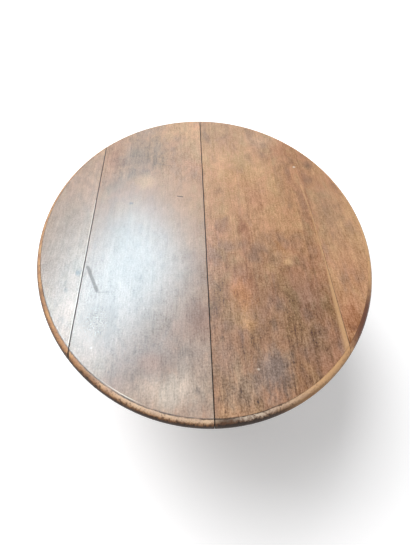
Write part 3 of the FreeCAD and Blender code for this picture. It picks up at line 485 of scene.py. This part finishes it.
class Board(Finish):
    """The polish of one board of the top. Its methods go from the bare wood to the wax."""

    def __init__(self, name):
        super().__init__(bpy.data.materials.new(name + "_polish"))
        self.name = name
        self.look = bpy.context.scene.table_top_finish
        self.spot = self.place()
        self.x, self.y, self.z = self.axes(self.spot)
        self.dull = 0.0

        # 1 at the near end, and 1 where the moulding gets its painted shade and soiling, left of
        # the worn part of the right half
        self.near = self.between(self.y, 0.2, -0.4)
        self.left_hand = self.between(self.x, 0.22, 0.12)

        # Noises that follow the wandering figure of the wood, from broad to fine
        wander = self.cut((0.06, 0.10, 0.06), 3.0, 0.6, 1, out="Color")
        wander = self.vector("SUBTRACT", wander, (0.5, 0.5, 0.5))
        strayed = self.vector("ADD", self.spot, self.vector("MULTIPLY", wander, (0.04, 0.05, 0)))
        self.cloud = self.cut((0.10, 0.24, 0.1), 4.0, 0.6, 1, strayed)
        self.smudge = self.cut((0.040, 0.090, 0.05), 2.0, 0.5, 3, strayed)
        self.haze = self.cut((0.045, 0.100, 0.05), 2.0, 0.5, 19, strayed)
        self.blot = self.cut((0.016, 0.034, 0.02), 4.0, 0.65, 11, strayed)

        # Noises of the straight grain, and the even tooth of the surface
        grain = self.look.grain_width
        self.ribbon = self.cut((grain * 2.6, 0.35, 0.05), 3.0, 0.6, 17)
        self.streak = self.cut((grain * 0.8, 0.16, 0.02), 4.0, 0.7, 5)
        self.fibre = self.cut((grain * 0.37, 0.026, 0.01), 3.0, 0.7, 7)
        self.pore = self.cut((grain * 0.22, 0.009, 0.01), 2.0, 0.6, 9)
        self.tooth = self.cut((0.0045, 0.0055, 0.01), 3.0, 0.7, 13)
        self.ragged = ((self.smudge - 0.5) * 1.2 + (self.blot - 0.5) * 1.2
                       + (self.streak - 0.5) * 0.5)
        self.bitty = self.tooth + (self.fibre - 0.5) * 0.5

        # How far in from the oval outline a point lies; its height is divided away
        tall = 1e6
        oval = self.size(self.vector("DIVIDE", self.spot, (HALF_WIDTH, HALF_LENGTH, tall)))
        steep = self.size(self.vector("DIVIDE", self.spot,
                                      (HALF_WIDTH ** 2, HALF_LENGTH ** 2, tall)))
        self.inset = (1 - oval * oval) / (2 * steep)
        self.moulded = (self.between(self.inset, MOULDING + 0.0004, MOULDING - 0.0004)
                        * self.between(self.z, TOP - 0.0002, TOP - 0.0006))

    def cut(self, cells, detail, roughness, shifts, place=None, out="Fac"):
        """A noise of this board's own, moved by its cut as often as the shifts say."""
        shift = Vector(CUTS[self.name]) * shifts
        spot = self.spot if place is None else place
        return self.noise(spot, cells, detail, roughness, shift, out)

    def patch(self, ragged, centre, radii):
        """An oval mark that fades outwards and has a ragged outline."""
        away = self.vector("SUBTRACT", self.spot, (*centre, TOP))
        away = self.size(self.vector("DIVIDE", away, (*radii, 1)))
        return self.between(away + ragged, 1.0, 0.0)

    def stroke(self, start, end, width):
        """A soft-edged line from one point to another."""
        start, end = Vector((*start, TOP)), Vector((*end, TOP))
        along = (end - start).normalized()
        from_start = self.vector("SUBTRACT", self.spot, start)
        reach = self.vector("DOT_PRODUCT", from_start, along, "Value")
        reach = reach.at_least(0.0).up_to((end - start).length)
        away = self.size(self.vector("SUBTRACT", from_start, self.scaled(along, reach)))
        return self.between(away, width, width * 0.4)

    def band(self, start_y, end_y, end_width):
        """Bare wood beside the leaf's seam, wider towards its end, and also a painted highlight of
        the rounded joint there.
        """
        ragged = (self.streak - 0.5) * 0.012 + (self.blot - 0.5) * 0.008
        width = self.between(self.y, start_y, end_y, smooth=False) * end_width
        return self.between(SEAM - abs(self.x) + ragged, width, width * 0.35)

    def scar_and_highlight(self, kind, where):
        """Where a mark or painted highlight over the grain covers the board."""
        if kind == "stroke":
            return self.stroke(*where)
        if kind == "band":
            return self.band(*where)
        oval = self.patch(self.ragged * 0.3, *where)
        # An edge is a painted highlight: a pale line where the arris beside the moulding catches
        # the light
        if kind == "edge":
            return oval * self.between(abs(self.inset - HIGHLIGHT_LINE), 0.0016, 0.0006)
        if kind == "specks":
            return oval * self.between(self.bitty, 0.54, 0.62)
        return oval * self.between(self.bitty, 0.45, 0.37)

    def stained(self):
        """The colour of the wood, with its clouds, its stains, and some painted shade and sheen."""
        look = self.look
        murk = look.ashen
        if self.name.startswith("right"):
            murk = self.mix(self.near, look.grain, look.ashen)
        wood = self.layers(look.ochre, (
            (self.cloud, 0.3, 0.75, 0.6, look.russet), (self.smudge, 0.5, 0.72, 0.5, murk),
            (self.smudge, 0.5, 0.28, 0.6, look.olive), (self.haze, 0.5, 0.7, 0.5, look.russet),
            (self.haze, 0.5, 0.3, 0.4, look.honey), (self.ribbon, 0.5, 0.72, 0.3, look.grain)))
        # Some of these are painted shade and painted sheen, laid like stains
        for kind, shade, amount, centre, radii in STAINS_AND_PAINTED_LIGHT[self.name]:
            stain = self.patch(self.ragged if kind == "patch" else 0.0, centre, radii)
            wood = self.mix(stain * amount * look.wear, wood, getattr(look, shade))
        return wood

    def grained(self, wood):
        """Adds the tone of the grain."""
        tone = ((self.streak - 0.5) * 1.15 + (self.fibre - 0.5) * 1.35 + (self.tooth - 0.5) * 1.8
                + (self.blot - 0.5) * 1.4 + (self.haze - 0.5) * 1.1
                - self.between(self.pore, 0.57, 0.7) * 0.35)
        coarse = self.near * NEAR_COARSENESS + COARSENESS[self.name]
        if self.name == "left_half_top":
            coarse = coarse + self.between(self.y, 0.12, 0.35) * FAR_LEFT_COARSENESS
        greyed = self.mix(GREY_SHARE, wood, GREY)
        wood = self.vector("ADD", wood, self.scaled(greyed, tone * coarse))
        return self.vector("MAXIMUM", wood, DARKEST)

    def scarred_and_highlit(self, wood):
        """Lays the marks and painted highlights over the grain. The dark ones take the shine off.
        """
        for kind, shade, amount, *where in SCARS_AND_HIGHLIGHTS[self.name]:
            scar_and_highlight = self.scar_and_highlight(kind, where) * amount * self.look.wear
            wood = self.mix(scar_and_highlight, wood, getattr(self.look, shade))
            if shade == "umber":
                self.dull = scar_and_highlight.at_least(self.dull)
        return wood

    def edged(self, wood):
        """Lays the moulded edge: rubbed, and lightened by a painted highlight, on its shoulder;
        darkened by painted shade in its corner and below.
        """
        look = self.look
        # Painted shade with some soiling: a dark line beside the moulding, on the left-hand side
        line = self.between(abs(self.inset - SHADE_AND_DIRT_LINE), 0.0014, 0.0005)
        line = line * self.between(self.smudge, 0.6, 0.42)
        wood = self.mix(line * self.left_hand * 0.6, wood, look.grime_and_shade)

        rubbed = self.cut((0.035, 0.035, 0.012), 4.0, 0.65, 2)
        smutch = self.cut((0.008, 0.008, 0.009), 4.0, 0.7, 4)
        ends = self.between(abs(self.y), 0.45, 0.6)
        rim = self.layers(look.rim, (
            (rubbed, 0.42, 0.62, 0.7, look.russet), (rubbed, 0.5, 0.3, 0.8, look.honey),
            # Painted highlight: the upper shoulder of the moulding is paler, more so near the ends
            (self.z, TOP - 0.010, TOP - 0.003, 0.12 + ends * 0.3, look.pale),
            (smutch, 0.5, 0.7, 0.6, look.grain), (smutch, 0.6, 0.75, 0.7, look.umber)))
        for shade, amount, centre, radii in RIM_MARKS[self.name]:
            mark = self.patch((smutch - 0.5) * 0.8, centre, radii)
            rim = self.mix(mark * amount, rim, getattr(look, shade))

        # Painted shade, with some soiling: the moulding darkens towards the bottom, and the
        # darkening reaches higher on the right of the middle seam
        reach = self.between(abs(self.x - 0.13), 0.15, 0.10) * 0.0025
        depth = self.z + (smutch - 0.5) * 0.020 - reach
        dirt_and_shade = 0.02 + self.left_hand * 0.63 + ends * 0.15
        rim = self.mix(self.between(depth, TOP - 0.003, TOP - 0.008) * dirt_and_shade, rim, look.grain)
        # Painted shade: the moulding's underside and its inner corner are darkened
        below = self.between(depth, TOP - 0.006, TOP - 0.0115) * (0.42 + self.left_hand * 0.6)
        corner = self.between(self.z, TOP - 0.0020, TOP - 0.0015)
        corner = corner * self.between(rubbed, 0.68, 0.45) * self.left_hand
        rim = self.mix(corner.at_least(below) * 0.92, rim, look.grime_and_shade)
        return self.mix(self.moulded, wood, rim)

    def seamed(self, wood):
        """Lays soiling and painted shade along the seams, where it takes the shine off too."""
        # The left leaf's seam is wider where it meets the near edge, a painted shadow in the notch
        # of the moulding
        wider = self.between(self.y, -0.425, -0.44) * self.left_hand * 0.0015
        seam = self.between(abs(abs(self.x) - SEAM - SEAM_GAP / 2) - wider, 0.0020, 0.0009)
        if self.name.startswith("right"):
            seam = seam * self.between(self.y, -0.02, -0.30) * 0.4
        if self.name.endswith("half_top"):
            seam = seam.at_least(self.between(abs(self.x), 0.0021, 0.0010))
        self.dull = seam.at_least(self.dull)
        return self.mix(seam * 0.9, wood, self.look.grime_and_shade)

    def bare_below(self, wood):
        """Leaves the wood raw where it faces down."""
        facing = self.add("ShaderNodeNewGeometry", out="True Normal")
        down = self.between(self.axes(facing)[2], -0.7, -0.9)
        raw = self.mix(self.streak * 0.6, self.look.raw, self.look.umber)
        return self.mix(down, wood, raw)

    def waxed(self, wood, lean):
        """The finished material. Its relief leans with the sag, which only reflections show."""
        look = self.look
        roughness = (look.roughness + (self.smudge - 0.5) * 0.2 + (self.fibre - 0.5) * 0.1
                     + self.moulded * 0.1)
        height = (self.streak * 0.00008 + self.fibre * 0.00002 + self.cloud * 0.0008
                  + self.x * math.tan(lean))
        low = self.between(self.z, TOP - 0.006, TOP - 0.0105)
        wax = (1 - self.moulded * (0.55 + low * 0.43)) * (1 - self.dull * 0.97)
        wax = wax * (1 + (self.fibre - 0.5) * 0.6 + (self.tooth - 0.5) * 1.1
                     + (self.streak - 0.5) * 0.2)
        return self.coated(wood, roughness, height, coat=wax * look.wax,
                           coat_roughness=look.wax_roughness)


class TABLE_OT_finish_top(bpy.types.Operator):
    """Polish on the two half tops and the two leaves"""
    bl_idname = "table.finish_top"
    bl_label = "Half tops and leaves"

    def execute(self, context):
        sag = context.scene.table_top_finish.sag
        for name in CUTS:
            board = Board(name)
            wood = board.scarred_and_highlit(board.grained(board.stained()))
            wood = board.bare_below(board.seamed(board.edged(wood)))
            dress([name], board.waxed(wood, sag if name.startswith("left") else -sag))
        return {"FINISHED"}


def plain_wood(name, light, dark, along, roughness, coat=0.0):
    """Straight-grained wood, along X, Y or Z, or at an angle from X for a diagonal piece."""
    wood = Finish(bpy.data.materials.new(name))
    place = wood.place()
    if along not in ("X", "Y", "Z"):
        place = wood.add("ShaderNodeVectorRotate", {"rotation_type": "Z_AXIS"},
                         {"Vector": place, "Angle": -math.radians(along)})
        along = "X"

    def cells(width, run):
        return tuple(run if axis == along else width for axis in "XYZ")

    broad = wood.noise(place, cells(0.03, 0.3), 3.0, 0.6)
    streak = wood.noise(place, cells(0.006, 0.12), 4.0, 0.7, (0.3, 0.7, 0.1))
    pores = wood.noise(place, cells(0.0012, 0.012), 2.0, 0.5, (0.9, 0.2, 0.5))
    wear = wood.noise(place, (0.05, 0.05, 0.05), 4.0, 0.6, (0.6, 0.4, 0.8))
    base = wood.layers(light, ((broad, 0.35, 0.65, 0.6, dark), (streak, 0.45, 0.75, 0.7, dark),
                               (pores, 0.58, 0.75, 0.5, dark), (wear, 0.55, 0.75, 0.35, light)))
    height = streak * 0.00015 + pores * 0.00005
    return wood.coated(base, roughness + (wear - 0.5) * 0.25, height, coat=coat)


class TABLE_OT_finish_frames(bpy.types.Operator):
    """Stain on the rails and corner posts under the top"""
    bl_idname = "table.finish_frames"
    bl_label = "Rails and corner posts"

    def execute(self, context):
        look = context.scene.frame_finish
        for pieces, name, along in ((named(SIDES, "_outer_rail"), "rail_stain_y", "Y"),
                                    (named(CORNERS, "_end_rail"), "rail_stain_x", "X"),
                                    (named(SIDES, "_corner_posts"), "post_stain", "Z")):
            dress(pieces, plain_wood(name, look.stained, look.stained_dark, along,
                                     look.roughness))
        return {"FINISHED"}


class TABLE_OT_finish_pedestal(bpy.types.Operator):
    """Stain and polish on the turned column and the four scrolled feet"""
    bl_idname = "table.finish_pedestal"
    bl_label = "Column and feet"

    def execute(self, context):
        look = context.scene.frame_finish
        for pieces, name, along in ((["pedestal_column"], "column_stain", "Z"),
                                    (["right_far_foot", "left_near_foot"], "foot_stain_45", 45),
                                    (["left_far_foot", "right_near_foot"], "foot_stain_135", 135)):
            dress(pieces, plain_wood(name, look.stained, look.stained_dark, along,
                                     look.polished_roughness, look.polish))
        return {"FINISHED"}


class TABLE_OT_finish_works(bpy.types.Operator):
    """Plain wood of the runners, lopers, battens, bearer and pegs"""
    bl_idname = "table.finish_works"
    bl_label = "Runners, lopers and pegs"

    def execute(self, context):
        look = context.scene.frame_finish
        across = named(CORNERS, "_runner", "_loper") + ["far_centre_runner", "near_centre_runner"]
        across += named(SIDES, "_leaf_battens", "_packing_strips")
        along = named(SIDES, "_loper_keepers", "_glue_blocks") + ["cross_rails", "centre_bearer"]
        for pieces, name, axis in ((across, "inner_wood_x", "X"), (along, "inner_wood_y", "Y")):
            dress(pieces, plain_wood(name, look.inner, look.inner_dark, axis,
                                     look.inner_roughness))
        pegs = named(SIDES, "_runner_pegs", "_post_pegs") + named(CORNERS, "_loper_peg")
        dress(pegs + ["seam_dowels"],
              plain_wood("peg_wood", look.peg, look.inner_dark, "X", look.peg_roughness))
        return {"FINISHED"}


def metal(name, bright, rust, rusted, roughness):
    """Metal with rust in blooms; rusted says how much of it there is."""
    iron = Finish(bpy.data.materials.new(name))
    place = iron.place()
    scale = iron.noise(place, (0.004, 0.004, 0.004), 5.0, 0.7)
    bloom = iron.noise(place, (0.02, 0.02, 0.02), 4.0, 0.65, (0.4, 0.1, 0.8))
    rusty = iron.between(bloom * 0.6 + scale * 0.4, 0.62 - rusted * 0.3, 0.75 - rusted * 0.3)
    roughness = roughness + rusty * 0.35 + (scale - 0.5) * 0.2
    return iron.coated(iron.mix(rusty, bright, rust), roughness, scale * 0.0002,
                       metallic=1.0 - rusty * 0.9)


class TABLE_OT_finish_metal(bpy.types.Operator):
    """Iron hinges and strap, and steel screws"""
    bl_idname = "table.finish_metal"
    bl_label = "Hinges, strap and screws"

    def execute(self, context):
        look = context.scene.metal_finish
        hinges = named(SIDES, "_half_hinge_plates", "_leaf_hinge_plates", "_hinge_pins")
        dress(hinges + ["pedestal_strap"],
              metal("hinge_iron", look.iron, look.rust, look.rust_amount, look.iron_roughness))
        screws = named(SIDES, "_half_hinge_screws", "_leaf_screws", "_top_screws")
        dress(screws + ["centre_frame_screws"],
              metal("screw_steel", look.steel, look.rust, look.rust_amount * 0.5,
                    look.steel_roughness))
        return {"FINISHED"}


# The camera and the lamps are placed from the middle of the top, and the camera in half widths
MIDDLE = Vector((0, 0, TOP))
EYE = (-0.127, -2.029, 1.924)

# Where each lamp is, what it faces, its width and height, and its turn in degrees
LAMPS = {
    "side_lamp": ((-4.2, 1.3, 11.2), (0, 0, 0), (6.6, 6.6), 0),
    "window_lamp": ((-0.78, 1.64, 2.42), (-0.24, -0.20, 0), (1.62, 0.80), 37),
    "wall_lamp": ((0.1, 4.8, 2.65), (0, 0.5, 0), (2.4, 1.3), 0),
}

# The middle of the floor's shadow, how bright it is there, and the rings in which the floor
# gets brighter: from, to, and by how much
SHADOW_MIDDLE = (0.33, -0.07, 0)
SHADOW_LIGHT = 0.22
SHADOW_RINGS = ((0.28, 0.52, 0.07), (0.7, 1.3, 0.38))
FLOOR_REACH = 30 * HALF_LENGTH


def lamp(name, radiance, tint):
    """A soft lamp that faces a point; its brightness is what a mirror would show of it."""
    place, target, (width, height), spin = LAMPS[name]
    data = bpy.data.lights.new(name, "AREA")
    data.shape = "RECTANGLE"
    data.size, data.size_y = width, height
    data.energy = radiance * math.pi * width * height
    data.color = tint
    holder = bpy.data.objects.new(name, data)
    bpy.context.scene.collection.objects.link(holder)
    aim = (Vector(target) - Vector(place)).to_track_quat("-Z", "Y").to_matrix()
    aim = aim @ Matrix.Rotation(math.radians(spin), 3, "Z")
    holder.matrix_world = Matrix.Translation(MIDDLE + Vector(place)) @ aim.to_4x4()
    return holder


class TABLE_OT_set_stage(bpy.types.Operator):
    """The floor, the room's light, the window and the camera"""
    bl_idname = "table.set_stage"
    bl_label = "Floor, lamps and camera"

    def set_floor(self, scene, stage):
        mesh = bpy.data.meshes.new("floor")
        corners = [(x * FLOOR_REACH, y * FLOOR_REACH, 0)
                   for x, y in ((-1, -1), (1, -1), (1, 1), (-1, 1))]
        mesh.from_pydata(corners, [], [(0, 1, 2, 3)])
        floor = bpy.data.objects.new("floor", mesh)
        scene.collection.objects.link(floor)
        paint = Finish(bpy.data.materials.new("floor_paint"))
        place = paint.place()
        spots = paint.noise(place, (0.6, 0.6, 0.6)) * 0.03
        tone = paint.mix(spots, stage.floor, (0.7, 0.7, 0.72))

        # The floor glows only where it is seen, straight or in a reflection, so it lights nothing
        rays = [paint.add("ShaderNodeLightPath", out="Is %s Ray" % kind)
                for kind in ("Camera", "Glossy", "Transmission")]
        seen = rays[0].at_least(rays[1]).at_least(rays[2])
        away = paint.size(paint.vector("SUBTRACT", place, SHADOW_MIDDLE))
        lift = SHADOW_LIGHT
        for start, end, amount in SHADOW_RINGS:
            lift = lift + paint.between(away, start, end) * amount
        glow = paint.mix(seen * lift, (0, 0, 0), (1, 1, 1))
        mesh.materials.append(paint.surface(paint.add("ShaderNodeBsdfPrincipled", None, {
            "Base Color": tone, "Roughness": 0.9, "Specular IOR Level": 0.0,
            "Emission Color": glow, "Emission Strength": 1.0})))

    def set_room(self, scene, stage):
        world = bpy.data.worlds.new("room")
        scene.world = world
        room = Finish(world, "ShaderNodeOutputWorld")
        white = (1, 1, 1)
        lighting = room.add("ShaderNodeBackground", None,
                            {"Color": white, "Strength": stage.sky_strength})
        backdrop = room.add("ShaderNodeBackground", None, {"Color": white, "Strength": 1.0})
        seen = room.add("ShaderNodeLightPath", out="Is Camera Ray")
        room.surface(room.add("ShaderNodeMixShader", None, {0: seen, 1: lighting, 2: backdrop}))

    def set_lamps(self, stage):
        lamp("side_lamp", stage.side_strength, (1, 1, 1))
        window = lamp("window_lamp", stage.window_strength, stage.window)
        wall = lamp("wall_lamp", stage.wall_strength, stage.wall)
        window.visible_diffuse = wall.visible_diffuse = False

    def set_camera(self, scene, stage):
        data = bpy.data.cameras.new("photo_camera")
        data.lens = stage.focal
        camera = bpy.data.objects.new("photo_camera", data)
        scene.collection.objects.link(camera)
        ahead = Vector((0, math.cos(stage.pitch), -math.sin(stage.pitch)))
        across = Vector((1, 0, 0))
        above = across.cross(ahead)
        spin = Matrix.Rotation(stage.yaw, 3, "Z")
        ahead, across, above = spin @ ahead, spin @ across, spin @ above
        leaned = math.cos(stage.roll) * across + math.sin(stage.roll) * above
        upright = math.cos(stage.roll) * above - math.sin(stage.roll) * across
        facing = Matrix((leaned, upright, -ahead)).transposed()
        eye = Vector(EYE) * HALF_WIDTH + MIDDLE
        camera.matrix_world = Matrix.Translation(eye) @ facing.to_4x4()
        scene.camera = camera

    def execute(self, context):
        scene = context.scene
        stage = scene.table_stage
        self.set_floor(scene, stage)
        self.set_room(scene, stage)
        self.set_lamps(stage)
        self.set_camera(scene, stage)
        scene.view_settings.view_transform = "Standard"
        return {"FINISHED"}


GROUPS = (("table_top_finish", TableTopFinish), ("frame_finish", FrameFinish),
          ("metal_finish", MetalFinish), ("table_stage", TableStage))
STEPS = (TABLE_OT_finish_top, TABLE_OT_finish_frames, TABLE_OT_finish_pedestal,
         TABLE_OT_finish_works, TABLE_OT_finish_metal, TABLE_OT_set_stage)


class VIEW3D_PT_table(bpy.types.Panel):
    """The table's steps and their settings"""
    bl_idname = "VIEW3D_PT_oval_table"
    bl_label = "Oval dining table"
    bl_space_type = "VIEW_3D"
    bl_region_type = "UI"
    bl_category = "Table"

    def draw(self, context):
        for step in STEPS:
            self.layout.operator(step.bl_idname)
        for name, group in GROUPS:
            box = self.layout.box()
            settings = getattr(context.scene, name)
            for field in group.__annotations__:
                box.prop(settings, field)


def register():
    for name, group in GROUPS:
        bpy.utils.register_class(group)
        setattr(bpy.types.Scene, name, bpy.props.PointerProperty(type=group))
    for step in STEPS:
        bpy.utils.register_class(step)
    bpy.utils.register_class(VIEW3D_PT_table)


def unregister():
    bpy.utils.unregister_class(VIEW3D_PT_table)
    for step in reversed(STEPS):
        bpy.utils.unregister_class(step)
    for name, group in reversed(GROUPS):
        delattr(bpy.types.Scene, name)
        bpy.utils.unregister_class(group)


def main():
    register()
    bpy.ops.table.finish_top()
    bpy.ops.table.finish_frames()
    bpy.ops.table.finish_pedestal()
    bpy.ops.table.finish_works()
    bpy.ops.table.finish_metal()
    bpy.ops.table.set_stage()


if __name__ == "__main__":
    main()
